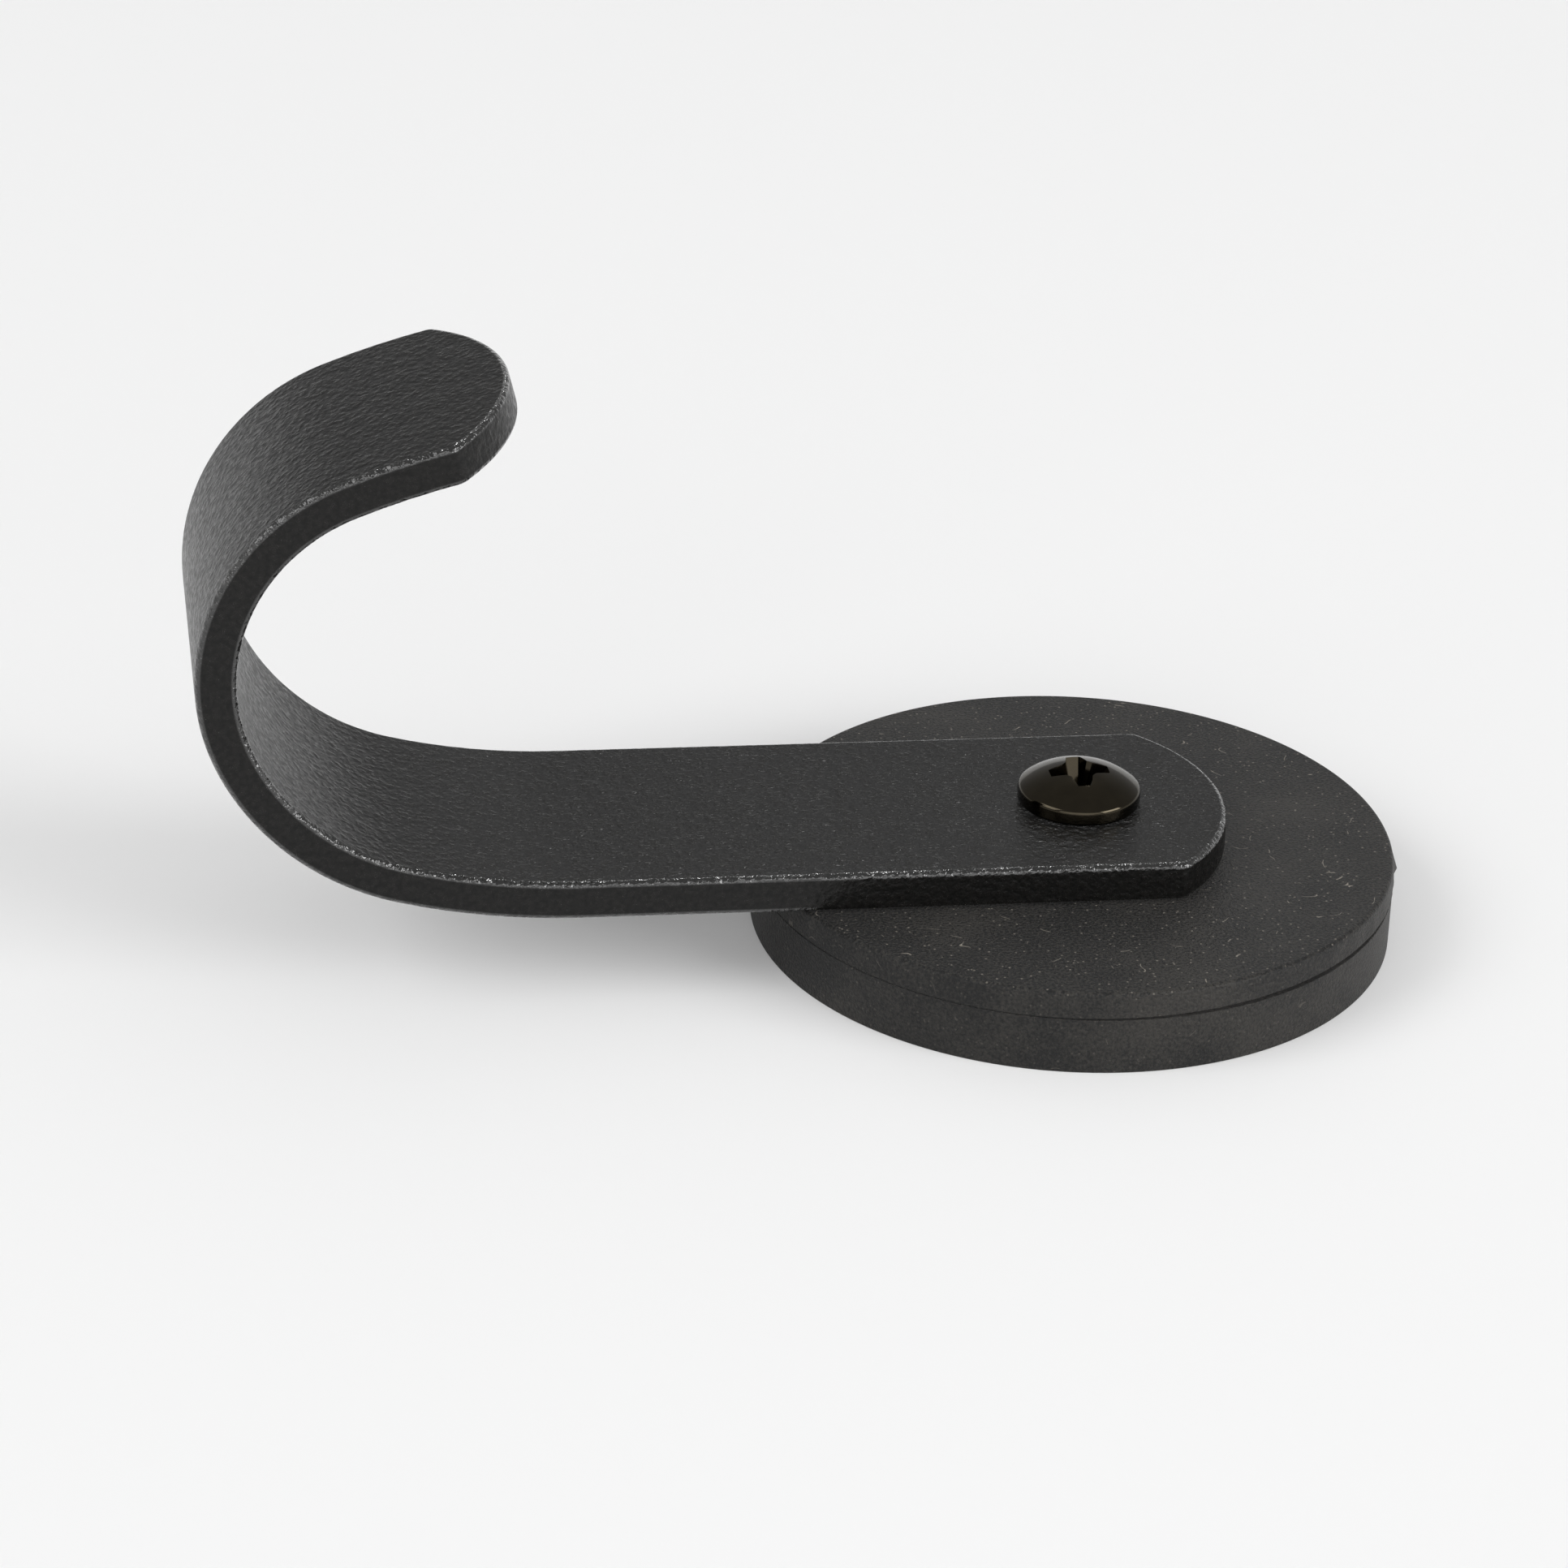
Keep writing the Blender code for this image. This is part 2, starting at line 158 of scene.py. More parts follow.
RECESS_SPAN = 4.35 * MM  # across two opposite wings, and like the next three at the crown's level
RECESS_WING_TIP = 1.0 * MM
RECESS_WING_ROOT = 1.9 * MM  # a wing's width where it would reach the screw's axis
RECESS_CORE_RADIUS = 1.25 * MM
RECESS_DEPTH = 1.8 * MM
RECESS_POINT = 0.25 * MM  # how much deeper its middle is than its wings
RECESS_FLOOR_SHARE = 0.55  # of each width, left at the floor
RECESS_SHIFT = Vector((-0.12, -0.2)) * MM  # the punch struck this far off the head's middle
RECESS_EDGE = 0.04 * MM
RECESS_SLIVER = 0.12 * MM  # shorter edges than this are drawn together before the mouth is rounded
CORE_STEPS = 32


def sagitta(radius, half_chord):
    """How far an arc's crown stands past a chord across it."""
    return radius - math.sqrt(radius**2 - half_chord**2)


def arc(center, radius, start, end, count):
    """Points of an outline on an arc, as (radius, height); angles run from the +radius direction."""
    turns = [start + (end - start) * i / count for i in range(count + 1)]
    return [(center[0] + radius * math.cos(a), center[1] + radius * math.sin(a)) for a in turns]


def keep(name, bm):
    """Makes the bmesh an object, shaded smooth."""
    mesh = bpy.data.meshes.new(name)
    bm.to_mesh(mesh)
    bm.free()
    mesh.shade_smooth()
    piece = bpy.data.objects.new(name, mesh)
    bpy.context.scene.collection.objects.link(piece)
    return piece


def cut(bm, cutter):
    """What is left of the bmesh when the cutter is taken out of it."""
    body = keep("body", bm)
    tool = keep("tool", cutter)
    boolean = body.modifiers.new("cut", "BOOLEAN")
    boolean.operation = "DIFFERENCE"
    boolean.solver = "EXACT"
    boolean.object = tool
    left = bmesh.new()
    left.from_object(body, bpy.context.evaluated_depsgraph_get())
    for used in (body, tool):
        bpy.data.objects.remove(used, do_unlink=True)
    bmesh.ops.remove_doubles(left, verts=left.verts, dist=HAIR)
    return left


def keep_flats_flat(piece):
    """Lets a large face set the shading of the vertices that it shares with a rounded edge."""
    weighted = piece.modifiers.new("flats", "WEIGHTED_NORMAL")
    weighted.mode = "FACE_AREA"
    weighted.weight = FLATS_WEIGHT


def sharp_edges(bm):
    """The edges between faces that meet at a sharp bend."""
    return [e for e in bm.edges if e.is_manifold and e.calc_face_angle() > SHARP_BEND]


def round_off(bm, geometry, width, segments, affect="EDGES"):
    """Rounds edges, or the corners of a flat blank."""
    bmesh.ops.bevel(
        bm,
        geom=geometry,
        offset=width,
        segments=segments,
        profile=0.5,
        affect=affect,
        material=-1,
        clamp_overlap=True,
    )


def cut_across(bm, place, direction, clear_outer=False):
    """Cuts the whole bmesh by a plane, and can take away what lies past it."""
    everything = bm.verts[:] + bm.edges[:] + bm.faces[:]
    bmesh.ops.bisect_plane(
        bm, geom=everything, plane_co=place, plane_no=direction, clear_outer=clear_outer
    )


def post(bm, radius, bottom, top, steps, center=(0, 0)):
    """Adds a closed upright cylinder."""
    bmesh.ops.create_cone(
        bm,
        cap_ends=True,
        segments=steps,
        radius1=radius,
        radius2=radius,
        depth=top - bottom,
        matrix=Matrix.Translation((*center, (bottom + top) / 2)),
    )


def turned(outline, steps, is_ring):
    """The outline of (radius, height) corners turned about the Z axis."""
    bm = bmesh.new()
    verts = [bm.verts.new((radius, 0, height)) for radius, height in outline]
    for first, second in zip(verts, verts[1:]):
        bm.edges.new((first, second))
    if is_ring:
        bm.edges.new((verts[-1], verts[0]))
    bmesh.ops.spin(
        bm,
        geom=bm.verts[:] + bm.edges[:],
        cent=(0, 0, 0),
        axis=(0, 0, 1),
        dvec=(0, 0, 0),
        angle=2 * math.pi,
        steps=steps,
        use_merge=True,
        use_duplicate=False,
    )
    bmesh.ops.remove_doubles(bm, verts=bm.verts, dist=HAIR)
    bmesh.ops.recalc_face_normals(bm, faces=bm.faces)
    return bm


def round_ring(bm, radius, height, width, segments):
    """Rounds the turned edge that stands at this radius and height."""
    on_ring = {
        v
        for v in bm.verts
        if abs(v.co.xy.length - radius) < HAIR and abs(v.co.z - height) < HAIR
    }
    edges = [e for e in bm.edges if e.verts[0] in on_ring and e.verts[1] in on_ring]
    round_off(bm, edges, width, segments)


def strip_length():
    """Along the strip, from the screw's axis to the corners of the tip."""
    return BEND_START + sum(radius * angle for radius, angle in BENDS)


def strip_blank():
    """The flat blank, with its hole; +X runs along it from the screw's axis to the tip."""
    bm = bmesh.new()
    bmesh.ops.create_circle(bm, cap_ends=True, segments=END_STEPS, radius=END_RADIUS)
    for side in (-1, 1):
        cut_across(bm, (0, side * STRIP_WIDTH / 2, 0), (0, side, 0), clear_outer=True)
    far_crown = strip_length() + sagitta(END_RADIUS, STRIP_WIDTH / 2)
    for vert in bm.verts:
        vert.co.x += far_crown - END_RADIUS if vert.co.x > 0 else END_RADIUS - END_REACH
    corners = [v for v in bm.verts if abs(v.co.y) > STRIP_WIDTH / 2 - HAIR]
    round_off(bm, corners, STRIP_CORNER, CORNER_SEGMENTS, affect="VERTICES")
    made = bmesh.ops.extrude_face_region(bm, geom=bm.faces[:])
    raised = [v for v in made["geom"] if isinstance(v, bmesh.types.BMVert)]
    bmesh.ops.translate(bm, verts=raised, vec=(0, 0, STRIP_THICKNESS))
    bmesh.ops.recalc_face_normals(bm, faces=bm.faces)
    round_off(bm, sharp_edges(bm), STRIP_EDGE, EDGE_SEGMENTS)
    drill = bmesh.new()
    post(drill, HOLE_RADIUS, -STRIP_THICKNESS, 2 * STRIP_THICKNESS, HOLE_STEPS)
    return cut(bm, drill)


def rolled(distance, across, height):
    """Where a point of the blank lies once it is rolled; height is from the strip's underside."""
    level = height - STRIP_THICKNESS / 2
    point = Vector((-min(distance, BEND_START), across, 0))
    heading = 0
    left = max(distance - BEND_START, 0)
    for radius, angle in BENDS:
        turn = min(left / radius, angle)
        point += radius * Vector((math.sin(heading), 0, math.cos(heading)))
        heading += turn
        point -= radius * Vector((math.sin(heading), 0, math.cos(heading)))
        left -= turn * radius
    point += left * Vector((-math.cos(heading), 0, math.sin(heading)))
    point += level * Vector((math.sin(heading), 0, math.cos(heading)))
    return point + Vector((0, 0, STRIP_TOP - STRIP_THICKNESS / 2))


def hook_piece():
    """The coated strip, rolled; its thin_coat attribute is 1 over the rounded edges and 0 elsewhere."""
    bm = strip_blank()
    station = BEND_START
    for radius, angle in BENDS:
        count = math.ceil(math.degrees(angle) / DEGREES_PER_FACET)
        for _ in range(count):
            cut_across(bm, (station, 0, 0), (1, 0, 0))
            station += radius * angle / count
    thin_coat = bm.verts.layers.float.new("thin_coat")
    for vert in bm.verts:
        depth = min(vert.co.z, STRIP_THICKNESS - vert.co.z)
        vert[thin_coat] = 1 if HAIR < depth < STRIP_EDGE - HAIR else 0
        vert.co = rolled(*vert.co)
    bmesh.ops.reverse_faces(bm, faces=bm.faces)
    piece = keep("rolled_hook", bm)
    keep_flats_flat(piece)
    return piece


def roughen_parting(bm, radius, bottom):
    """Lets the cover's lower edge wander, as moulding flash does, and pulls a torn tag out of it."""
    for vert in bm.verts:
        if vert.co.z > bottom + PARTING_EDGE + HAIR:
            continue
        turn = math.atan2(vert.co.y, vert.co.x)
        share = max(0, math.cos(turn - RAGGED_TURN)) ** 2
        vert.co.z += share * GROOVE_LIFT
        if vert.co.xy.length < radius - PARTING_EDGE - HAIR:
            continue
        wander = noise.noise(Vector((vert.co.x, vert.co.y, 0)) / RAGGED_LENGTH)
        tag = max(0, 1 - abs(turn - TAG_TURN) * radius / TAG_WIDTH)
        vert.co.z += share * RAGGED_EDGE * wander
        vert.co.xy *= 1 + (RAGGED_EDGE * wander * share + TAG_REACH * tag) / radius


def cover_piece():
    """The coating's upper shell."""
    bottom = PARTING + PARTING_GROOVE / 2
    radius = DISC_RADIUS - MOULD_SHIFT
    top_radius = radius - COVER_DRAFT
    inner = PLATE_BOX[1].x + SEAT_GAP
    ceiling = PLATE_BOX[1].z + SEAT_GAP
    hole = BUSH_BOX[1].x
    outline = [
        (top_radius, DISC_TOP),
        (radius, bottom),
        (inner, bottom),
        (inner, ceiling),
        (hole, ceiling),
        (hole, DISC_TOP),
    ]
    bm = turned(outline, DISC_STEPS, True)
    round_ring(bm, top_radius, DISC_TOP, TOP_EDGE, EDGE_SEGMENTS)
    round_ring(bm, radius, bottom, PARTING_EDGE, SMALL_EDGE_SEGMENTS)
    roughen_parting(bm, radius, bottom)
    bmesh.ops.translate(bm, verts=bm.verts, vec=(MOULD_SHIFT, 0, 0))
    piece = keep("moulded_cover", bm)
    keep_flats_flat(piece)
    return piece


def cup_piece():
    """The coating's lower shell, with its pockets for the magnets and for the bush's flange."""
    top = PARTING - PARTING_GROOVE / 2
    radius = DISC_RADIUS - 2 * MOULD_SHIFT - LIP_STEP
    inner = PLATE_BOX[1].x + SEAT_GAP
    land = MAGNET_BOXES[0][1].z
    outline = [(0, land), (inner, land), (inner, top), (radius, top), (radius, 0), (0, 0)]
    bm = turned(outline, DISC_STEPS, False)
    round_ring(bm, radius, top, PARTING_EDGE, SMALL_EDGE_SEGMENTS)
    round_ring(bm, radius, 0, BOTTOM_EDGE, EDGE_SEGMENTS)
    pockets = bmesh.new()
    over = PLATE_BOX[1].z
    post(pockets, BUSH_BOX[1].x + 2 * SEAT_GAP, BUSH_BOX[0].z - SEAT_GAP, over, POCKET_STEPS)
    for low, high in MAGNET_BOXES:
        middle = (low + high) / 2
        reach = (high.x - low.x) / 2 + SEAT_GAP
        post(pockets, reach, low.z - SEAT_GAP, over, POCKET_STEPS, middle.xy)
    bm = cut(bm, pockets)
    bmesh.ops.translate(bm, verts=bm.verts, vec=(-MOULD_SHIFT, 0, 0))
    piece = keep("moulded_cup", bm)
    keep_flats_flat(piece)
    return piece


def head_outline():
    """The head and shank, from the crown to the screw's point."""
    bearing = STRIP_TOP + HEAD_LIFT
    dome_rise = HEAD_CROWN - HEAD_RIM
    dome_radius = (HEAD_RADIUS**2 + dome_rise**2) / (2 * dome_rise)
    dome_center = (0, HEAD_CROWN - dome_radius)
    dome_edge = math.acos(HEAD_RADIUS / dome_radius)
    foot_center = (HEAD_RADIUS - HEAD_FOOT, bearing + HEAD_FOOT)
    outline = arc(dome_center, dome_radius, math.pi / 2, dome_edge, DOME_POINTS)
    outline += arc(foot_center, HEAD_FOOT, 0, -math.pi / 2, FOOT_POINTS)
    rows = round((bearing - SCREW_BOX[0].z) / THREAD_PITCH * THREAD_ROWS)
    for row in range(rows + 1):
        outline.append((SHANK_RADIUS, bearing - (bearing - SCREW_BOX[0].z) * row / rows))
    outline.append((0, SCREW_BOX[0].z))
    return outline


def cut_thread(bm):
    """Draws the shank's vertices in along a helix, and tapers the point."""
    bearing = STRIP_TOP + HEAD_LIFT
    for vert in bm.verts:
        off_shank = abs(vert.co.xy.length - SHANK_RADIUS) > HAIR
        if off_shank or vert.co.z > bearing - HAIR:
            continue
        turns = vert.co.z / THREAD_PITCH - math.atan2(vert.co.y, vert.co.x) / (2 * math.pi)
        flank = abs(2 * (turns % 1) - 1)
        taper = 1 - (vert.co.z - SCREW_BOX[0].z) / THREAD_PITCH
        vert.co.xy *= 1 - THREAD_DEPTH * max(flank, taper) / SHANK_RADIUS


def recess_share(height):
    """How wide the recess is at this height over its floor, as a share of its width at the crown."""
    return RECESS_FLOOR_SHARE + (1 - RECESS_FLOOR_SHARE) * height / RECESS_DEPTH


def recess_core():
    """The round middle of the recess, in which the wings' roots end."""
    top = 2 * RECESS_DEPTH
    middle = HEAD_CROWN - RECESS_DEPTH + (top - RECESS_POINT) / 2
    bm = bmesh.new()
    bmesh.ops.create_cone(
        bm,
        cap_ends=True,
        segments=CORE_STEPS,
        radius1=RECESS_CORE_RADIUS * recess_share(-RECESS_POINT),
        radius2=RECESS_CORE_RADIUS * recess_share(top),
        depth=top + RECESS_POINT,
        matrix=Matrix.Translation((*RECESS_SHIFT, middle)),
    )
    return bm


def recess_wing(turn):
    """A wing of the recess, wider at its root and narrower at its floor."""
    bm = bmesh.new()
    for vert in bmesh.ops.create_cube(bm, size=1)["verts"]:
        is_root = vert.co.x < 0
        height = 0 if vert.co.z < 0 else 2 * RECESS_DEPTH
        width = RECESS_WING_ROOT if is_root else RECESS_WING_TIP
        vert.co.x = 0 if is_root else RECESS_SPAN / 2 * recess_share(height)
        vert.co.y *= width * recess_share(height)
        vert.co.z = HEAD_CROWN - RECESS_DEPTH + height
    bmesh.ops.rotate(bm, verts=bm.verts, matrix=Matrix.Rotation(turn, 3, "Z"))
    bmesh.ops.translate(bm, verts=bm.verts, vec=(*RECESS_SHIFT, 0))
    return bm


def recess_mouth(bm):
    """The edges where the recess's walls meet the dome."""
    mouth = []
    for edge in sharp_edges(bm):
        low = min(v.co.z for v in edge.verts)
        reach = max((v.co.xy - RECESS_SHIFT).length for v in edge.verts)
        if low > HEAD_CROWN - RECESS_DEPTH / 2 and reach < RECESS_SPAN / 2:
            mouth.append(edge)
    return mouth


def soften_recess(bm):
    """Rounds the recess's mouth; its corners are merged in order of place, alike on every run."""
    corners = {v for edge in recess_mouth(bm) for v in edge.verts}
    in_order = sorted(corners, key=lambda v: v.co[:])
    bmesh.ops.remove_doubles(bm, verts=in_order, dist=RECESS_SLIVER)
    round_off(bm, recess_mouth(bm), RECESS_EDGE, SMALL_EDGE_SEGMENTS)
    bmesh.ops.remove_doubles(bm, verts=bm.verts, dist=HAIR)


def screw_piece():
    """The pan head with its cross recess, and the threaded shank."""
    bm = turned(head_outline(), HEAD_STEPS, False)
    round_ring(bm, HEAD_RADIUS, HEAD_RIM, HEAD_RIM_EDGE, CORNER_SEGMENTS)
    cut_thread(bm)
    bm = cut(bm, recess_core())
    for wing in range(RECESS_WINGS):
        bm = cut(bm, recess_wing(RECESS_TURN + wing * 2 * math.pi / RECESS_WINGS))
    soften_recess(bm)
    bmesh.ops.translate(bm, verts=bm.verts, vec=(SCREW_SHIFT, 0, 0))
    piece = keep("pan_head_screw", bm)
    piece.data.set_sharp_from_angle(angle=SHARP_BEND)
    return piece


def linear(hex_code):
    """An sRGB hex value as linear red, green, blue and alpha."""
    parts = [int(hex_code[i : i + 2], 16) / 255 for i in (0, 2, 4)]
    return [p / 12.92 if p <= 0.04045 else ((p + 0.055) / 1.055) ** 2.4 for p in parts] + [1]


def add(tree, kind, inputs=(), **settings):
    """Adds a node; an input is given a value, or a socket to link from."""
    made = tree.nodes.new(kind)
    for name, value in settings.items():
        setattr(made, name, value)
    for socket, value in dict(inputs).items():
        if isinstance(value, bpy.types.NodeSocket):
            tree.links.new(value, made.inputs[socket])
        else:
            made.inputs[socket].default_value = value
    return made


def new_material(name):
    """A material with a Principled shader, its tree and its Object coordinates."""
    made = bpy.data.materials.new(name)
    made.use_nodes = True
    tree = made.node_tree
    shader = tree.nodes["Principled BSDF"]
    place = add(tree, "ShaderNodeTexCoord").outputs["Object"]
    return made, tree, shader, place


def powder_coat():
    """Black polyester powder coat on steel, sprayed and baked.

    It gives a satin, near-black skin with a fine leathery grain. Over the strip's rounded edges the
    coat draws thin and hard, and there it glitters.
    """
    made, tree, shader, place = new_material("black_powder_coat")
    grain = add(
        tree,
        "ShaderNodeTexNoise",
        {"Vector": place, "Scale": 1 / (0.4 * MM), "Detail": 2.0, "Roughness": 0.5},
    ).outputs["Fac"]
    flow = add(
        tree, "ShaderNodeTexNoise", {"Vector": place, "Scale": 1 / (1.6 * MM), "Detail": 1.0}
    ).outputs["Fac"]
    height = add(tree, "ShaderNodeMath", {0: flow, 1: 0.6, 2: grain}, operation="MULTIPLY_ADD")
    edge = add(tree, "ShaderNodeAttribute", attribute_name="thin_coat").outputs["Fac"]
    relief = add(tree, "ShaderNodeMapRange", {"Value": edge, "To Min": 0.08 * MM, "To Max": 0.18 * MM})
    bump = add(
        tree,
        "ShaderNodeBump",
        {"Strength": 1.0, "Distance": relief.outputs["Result"], "Height": height.outputs["Value"]},
    )
    crest = add(tree, "ShaderNodeMapRange", {"Value": grain, "From Min": 0.35, "From Max": 0.65})
    shade = add(
        tree,
        "ShaderNodeMix",
        {"Factor": crest.outputs["Result"], "A": linear("060605"), "B": linear("161514")},
        data_type="RGBA",
    )
    gloss = add(
        tree, "ShaderNodeMapRange", {"Value": crest.outputs["Result"], "To Min": 0.4, "To Max": 0.24}
    )
    tree.links.new(shade.outputs["Result"], shader.inputs["Base Color"])
    tree.links.new(gloss.outputs["Result"], shader.inputs["Roughness"])
    tree.links.new(bump.outputs["Normal"], shader.inputs["Normal"])
    tree.links.new(edge, shader.inputs["Coat Weight"])
    tree.links.new(bump.outputs["Normal"], shader.inputs["Coat Normal"])
    shader.inputs["IOR"].default_value = 1.33
    shader.inputs["Coat Roughness"].default_value = 0.1
    shader.inputs["Coat IOR"].default_value = 1.6
    return made


def settled_dust(tree, place, resting):
    """The share of a surface that specks of dust and bits of fluff cover, where they come to rest."""
    # Specks up to 0.19 mm across; the real ones are a little finer, and drawn so that they show.
    speck = add(tree, "ShaderNodeTexVoronoi", {"Vector": place, "Scale": 1 / (0.55 * MM)})
    speck = add(
        tree,
        "ShaderNodeMapRange",
        {
            "Value": speck.outputs["Distance"],
            "From Min": 0.08,
            "From Max": 0.17,
            "To Min": 0.7,
            "To Max": 0.0,
        },
    )
    # Fluff: short lengths of the lines along which a noise passes its middle value.
    bend = add(tree, "ShaderNodeTexNoise", {"Vector": place, "Scale": 1 / (2.5 * MM), "Detail": 1.0})
    line = add(tree, "ShaderNodeMath", {0: bend.outputs["Fac"], 1: 0.5}, operation="SUBTRACT")
    line = add(tree, "ShaderNodeMath", {0: line.outputs["Value"]}, operation="ABSOLUTE")
    line = add(
        tree,
        "ShaderNodeMapRange",
        {
            "Value": line.outputs["Value"],
            "From Min": 0.003,
            "From Max": 0.007,
            "To Min": 1.0,
            "To Max": 0.0,
        },
    )
    tuft = add(
        tree, "ShaderNodeTexNoise", {"Vector": place, "Scale": 1 / (1.3 * MM), "Detail": 1.0}
    ).outputs["Fac"]
    tuft = add(tree, "ShaderNodeMapRange", {"Value": tuft, "From Min": 0.63, "From Max": 0.68})
    fibre = add(
        tree,
        "ShaderNodeMath",
        {0: line.outputs["Result"], 1: tuft.outputs["Result"]},
        operation="MULTIPLY",
    )
    dust = add(
        tree,
        "ShaderNodeMath",
        {0: fibre.outputs["Value"], 1: speck.outputs["Result"]},
        operation="MAXIMUM",
    )
    dust = add(
        tree,
        "ShaderNodeMath",
        {0: dust.outputs["Value"], 1: resting},
        operation="MULTIPLY",
    )
    return dust.outputs["Value"]


def moulded_rubber():
    """Black thermoplastic rubber, injection moulded over the magnets.

    It gives a matt charcoal skin with a faint brown bloom, on which pale dust and fluff settle.
    """
    made, tree, shader, place = new_material("black_moulded_rubber")
    # The skin's own grain is about 0.05 mm; it is drawn at 0.2 mm, coarse enough to show.
    fine = add(
        tree,
        "ShaderNodeTexNoise",
        {"Vector": place, "Scale": 1 / (0.2 * MM), "Detail": 2.0, "Roughness": 0.6},
    ).outputs["Fac"]
    cloud = add(
        tree, "ShaderNodeTexNoise", {"Vector": place, "Scale": 1 / (7 * MM), "Detail": 3.0}
    ).outputs["Fac"]
    bump = add(tree, "ShaderNodeBump", {"Strength": 1.0, "Distance": 0.11 * MM, "Height": fine})
    # Grain and dust show on the top, where dust comes to rest, and hardly on the upright side.
    level = add(tree, "ShaderNodeSeparateXYZ", {"Vector": place}).outputs["Z"]
    resting = add(
        tree,
        "ShaderNodeMapRange",
        {
            "Value": level,
            "From Min": DISC_TOP - TOP_EDGE,
            "From Max": DISC_TOP,
            "To Min": 0.2,
            "To Max": 1.0,
        },
    ).outputs["Result"]
    grain = add(tree, "ShaderNodeMapRange", {"Value": resting, "To Min": 0.3})
    pore = add(tree, "ShaderNodeMath", {0: fine, 1: 0.5}, operation="SUBTRACT")
    pore = add(
        tree,
        "ShaderNodeMath",
        {0: pore.outputs["Value"], 1: grain.outputs["Result"]},
        operation="MULTIPLY",
    )
    mottle = add(
        tree,
        "ShaderNodeMath",
        {0: cloud, 1: 0.4, 2: pore.outputs["Value"]},
        operation="MULTIPLY_ADD",
    )
    mottle = add(
        tree,
        "ShaderNodeMapRange",
        {"Value": mottle.outputs["Value"], "From Min": 0.13, "From Max": 0.31},
    )
    skin = add(
        tree,
        "ShaderNodeMix",
        {"Factor": mottle.outputs["Result"], "A": linear("121212"), "B": linear("302E2B")},
        data_type="RGBA",
    ).outputs["Result"]
    dusty = add(
        tree,
        "ShaderNodeMix",
        {"Factor": settled_dust(tree, place, resting), "A": skin, "B": linear("857F76")},
        data_type="RGBA",
    )
    tree.links.new(dusty.outputs["Result"], shader.inputs["Base Color"])
    tree.links.new(bump.outputs["Normal"], shader.inputs["Normal"])
    shader.inputs["Roughness"].default_value = 0.48
    shader.inputs["IOR"].default_value = 1.35
    return made


def finish_metal(tree, shader, pattern, tints, roughness):
    """Makes the shader a metal whose tint and roughness follow the pattern between two values each."""
    tint = add(
        tree,
        "ShaderNodeMix",
        {"Factor": pattern, "A": linear(tints[0]), "B": linear(tints[1])},
        data_type="RGBA",
    )
    gloss = add(
        tree,
        "ShaderNodeMapRange",
        {"Value": pattern, "To Min": roughness[0], "To Max": roughness[1]},
    )
    tree.links.new(tint.outputs["Result"], shader.inputs["Base Color"])
    tree.links.new(gloss.outputs["Result"], shader.inputs["Roughness"])
    shader.inputs["Metallic"].default_value = 1


def black_nickel():
    """Black nickel plate on a machined steel screw: a glossy, smoky brown-black metal."""
    made, tree, shader, place = new_material("black_nickel_plate")
    haze = add(tree, "ShaderNodeTexNoise", {"Vector": place, "Scale": 1 / (1.1 * MM), "Detail": 3.0})
    finish_metal(tree, shader, haze.outputs["Fac"], ("302C25", "3E392F"), (0.08, 0.15))
    return made


def zinc_plate():
    """Bright zinc plate on turned steel: pale, bluish and slightly brushed."""
    made, tree, shader, place = new_material("zinc_plated_steel")
    stretch = add(tree, "ShaderNodeMapping", {"Vector": place, "Scale": (1, 1, 12)}).outputs["Vector"]
    lines = add(tree, "ShaderNodeTexNoise", {"Vector": stretch, "Scale": 1 / (0.5 * MM), "Detail": 3.0})
    finish_metal(tree, shader, lines.outputs["Fac"], ("B4B8BE", "D3D5D8"), (0.25, 0.45))
    return made


def nickel_plate():
    """Nickel plate on sintered magnets: warm, with a fine tumbled haze."""
    made, tree, shader, place = new_material("nickel_plated_magnet")
    haze = add(tree, "ShaderNodeTexNoise", {"Vector": place, "Scale": 1 / (0.3 * MM), "Detail": 3.0})
    finish_metal(tree, shader, haze.outputs["Fac"], ("C9C3B8", "DAD5CC"), (0.15, 0.3))
    return made


def build_pieces():
    """Makes the four visible pieces and lets them stand for their solids."""
    rubber = moulded_rubber()
    for piece, node, body, slot, finish in (
        (hook_piece(), "hook_strip", "hook", "powder_coat", powder_coat()),
        (screw_piece(), "clamp_screw", "magnet_base", "black_nickel", black_nickel()),
        (cover_piece(), "rubber_cover", "magnet_base", "rubber", rubber),
        (cup_piece(), "rubber_cup", "magnet_base", "rubber", rubber),
    ):
        piece.data.materials.append(finish)
        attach(piece, body)
        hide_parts(node)


def finish_inner_nodes():
    """The steel plate, the bush and the magnets keep their solids' shapes."""
    zinc = zinc_plate()
    nickel = nickel_plate()
    for name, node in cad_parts.items():
        is_magnet = name.startswith("magnet_")
        if is_magnet or name in ("back_plate", "threaded_bush"):
            node.data.materials.clear()
            node.data.materials.append(nickel if is_magnet else zinc)


def direction(azimuth, elevation):
    """A unit vector; azimuth runs from the +X axis."""
    level = math.cos(elevation)
    return Vector((math.cos(azimuth) * level, math.sin(azimuth) * level, math.sin(elevation)))


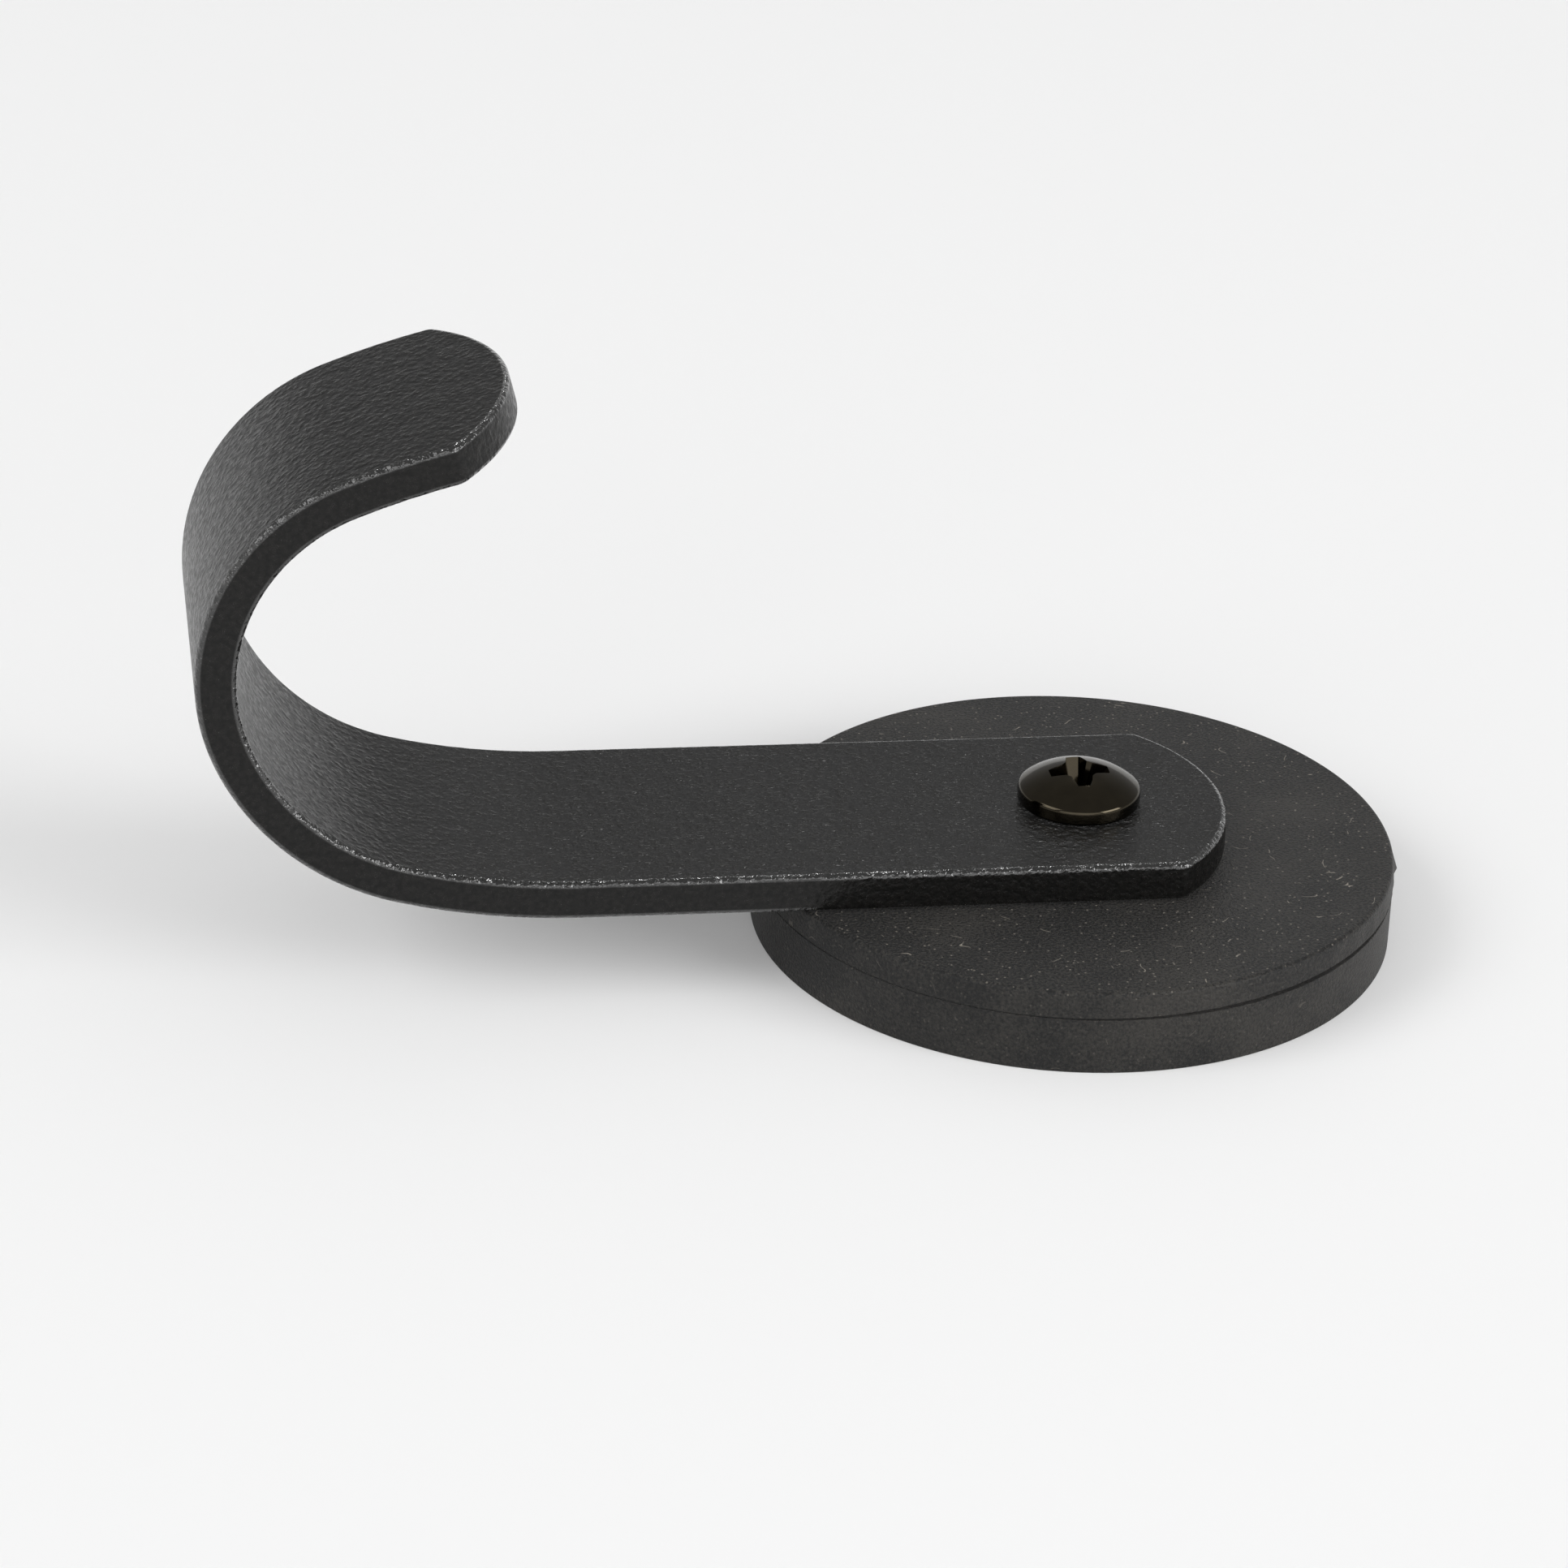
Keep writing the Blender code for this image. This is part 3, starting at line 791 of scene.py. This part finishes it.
def place_camera():
    """Looks along the photograph's line of sight."""
    camera = bpy.data.objects.new("camera", bpy.data.cameras.new("camera"))
    bpy.context.scene.collection.objects.link(camera)
    camera.data.sensor_width = SENSOR_WIDTH
    camera.data.lens = SENSOR_WIDTH * FOCAL_LENGTH / IMAGE_WIDTH
    camera.data.clip_start = CAMERA_NEAR
    camera.data.clip_end = CAMERA_FAR
    away = direction(CAMERA_AZIMUTH - math.pi / 2, CAMERA_ELEVATION)
    camera.location = CAMERA_PLACE
    camera.rotation_mode = "QUATERNION"
    camera.rotation_quaternion = away.to_track_quat("Z", "Y") @ Quaternion((0, 0, 1), CAMERA_ROLL)
    bpy.context.scene.camera = camera


def sweep_paper():
    """Matt white paper; where the lamps no longer reach it, it is plain white to the eye, and nearer
    the object a small painted white glow lightens its shadows.
    """
    made, tree, shader, place = new_material("white_sweep_paper")
    shader.inputs["Base Color"].default_value = linear(SWEEP_COLOR)
    shader.inputs["Roughness"].default_value = 0.6
    reach = add(tree, "ShaderNodeVectorMath", {0: place}, operation="LENGTH")
    # Far out the paper is plain white; nearer, a small share of painted white glow stays, which
    # lightens its shadows
    far = add(
        tree,
        "ShaderNodeMapRange",
        {
            "Value": reach.outputs["Value"],
            "From Min": SWEEP_FADE[0],
            "From Max": SWEEP_FADE[1],
            "To Min": SWEEP_PAINTED_GLOW,
        },
        interpolation_type="SMOOTHSTEP",
    )
    ray = add(tree, "ShaderNodeLightPath")
    seen = add(
        tree,
        "ShaderNodeMath",
        {0: ray.outputs["Is Camera Ray"], 1: ray.outputs["Is Glossy Ray"]},
        operation="MAXIMUM",
    )
    seen = add(
        tree,
        "ShaderNodeMath",
        {0: seen.outputs["Value"], 1: ray.outputs["Is Transmission Ray"]},
        operation="MAXIMUM",
    )
    amount = add(
        tree,
        "ShaderNodeMath",
        {0: far.outputs["Result"], 1: seen.outputs["Value"]},
        operation="MULTIPLY",
    )
    white = add(tree, "ShaderNodeEmission", {"Color": linear(SWEEP_COLOR)})
    mix = add(
        tree,
        "ShaderNodeMixShader",
        {0: amount.outputs["Value"], 1: shader.outputs["BSDF"], 2: white.outputs["Emission"]},
    )
    tree.links.new(mix.outputs["Shader"], tree.nodes["Material Output"].inputs["Surface"])
    return made


def build_sweep():
    """A round floor that turns up into a low wall."""
    center = (SWEEP_RADIUS - SWEEP_ROUND, SWEEP_ROUND)
    rise = arc(center, SWEEP_ROUND, -math.pi / 2, 0, SWEEP_ROUND_POINTS)
    sweep = keep("sweep", turned([(0, 0), *rise, (SWEEP_RADIUS, SWEEP_WALL)], SWEEP_STEPS, False))
    sweep.data.materials.append(sweep_paper())


def light_room():
    """Hangs the lamps round the object, and lights the room dimly."""
    for name, (azimuth, elevation, width, height, power, casts_shadow) in LAMPS.items():
        lamp = bpy.data.lights.new(name, "AREA")
        lamp.shape = "RECTANGLE"
        lamp.size = width
        lamp.size_y = height
        lamp.energy = power
        lamp.use_shadow = casts_shadow
        soft_box = bpy.data.objects.new(name, lamp)
        bpy.context.scene.collection.objects.link(soft_box)
        towards = direction(math.radians(azimuth), math.radians(elevation))
        soft_box.location = towards * LAMP_DISTANCE
        soft_box.rotation_mode = "QUATERNION"
        soft_box.rotation_quaternion = towards.to_track_quat("Z", "Y")
        soft_box.visible_camera = False
    world = bpy.data.worlds.new("room")
    world.use_nodes = True
    sky = world.node_tree.nodes["Background"]
    sky.inputs["Color"].default_value = (1, 1, 1, 1)
    sky.inputs["Strength"].default_value = ROOM_LIGHT
    bpy.context.scene.world = world
    bpy.context.scene.view_settings.view_transform = "Standard"


build_pieces()
finish_inner_nodes()
build_sweep()
light_room()
place_camera()
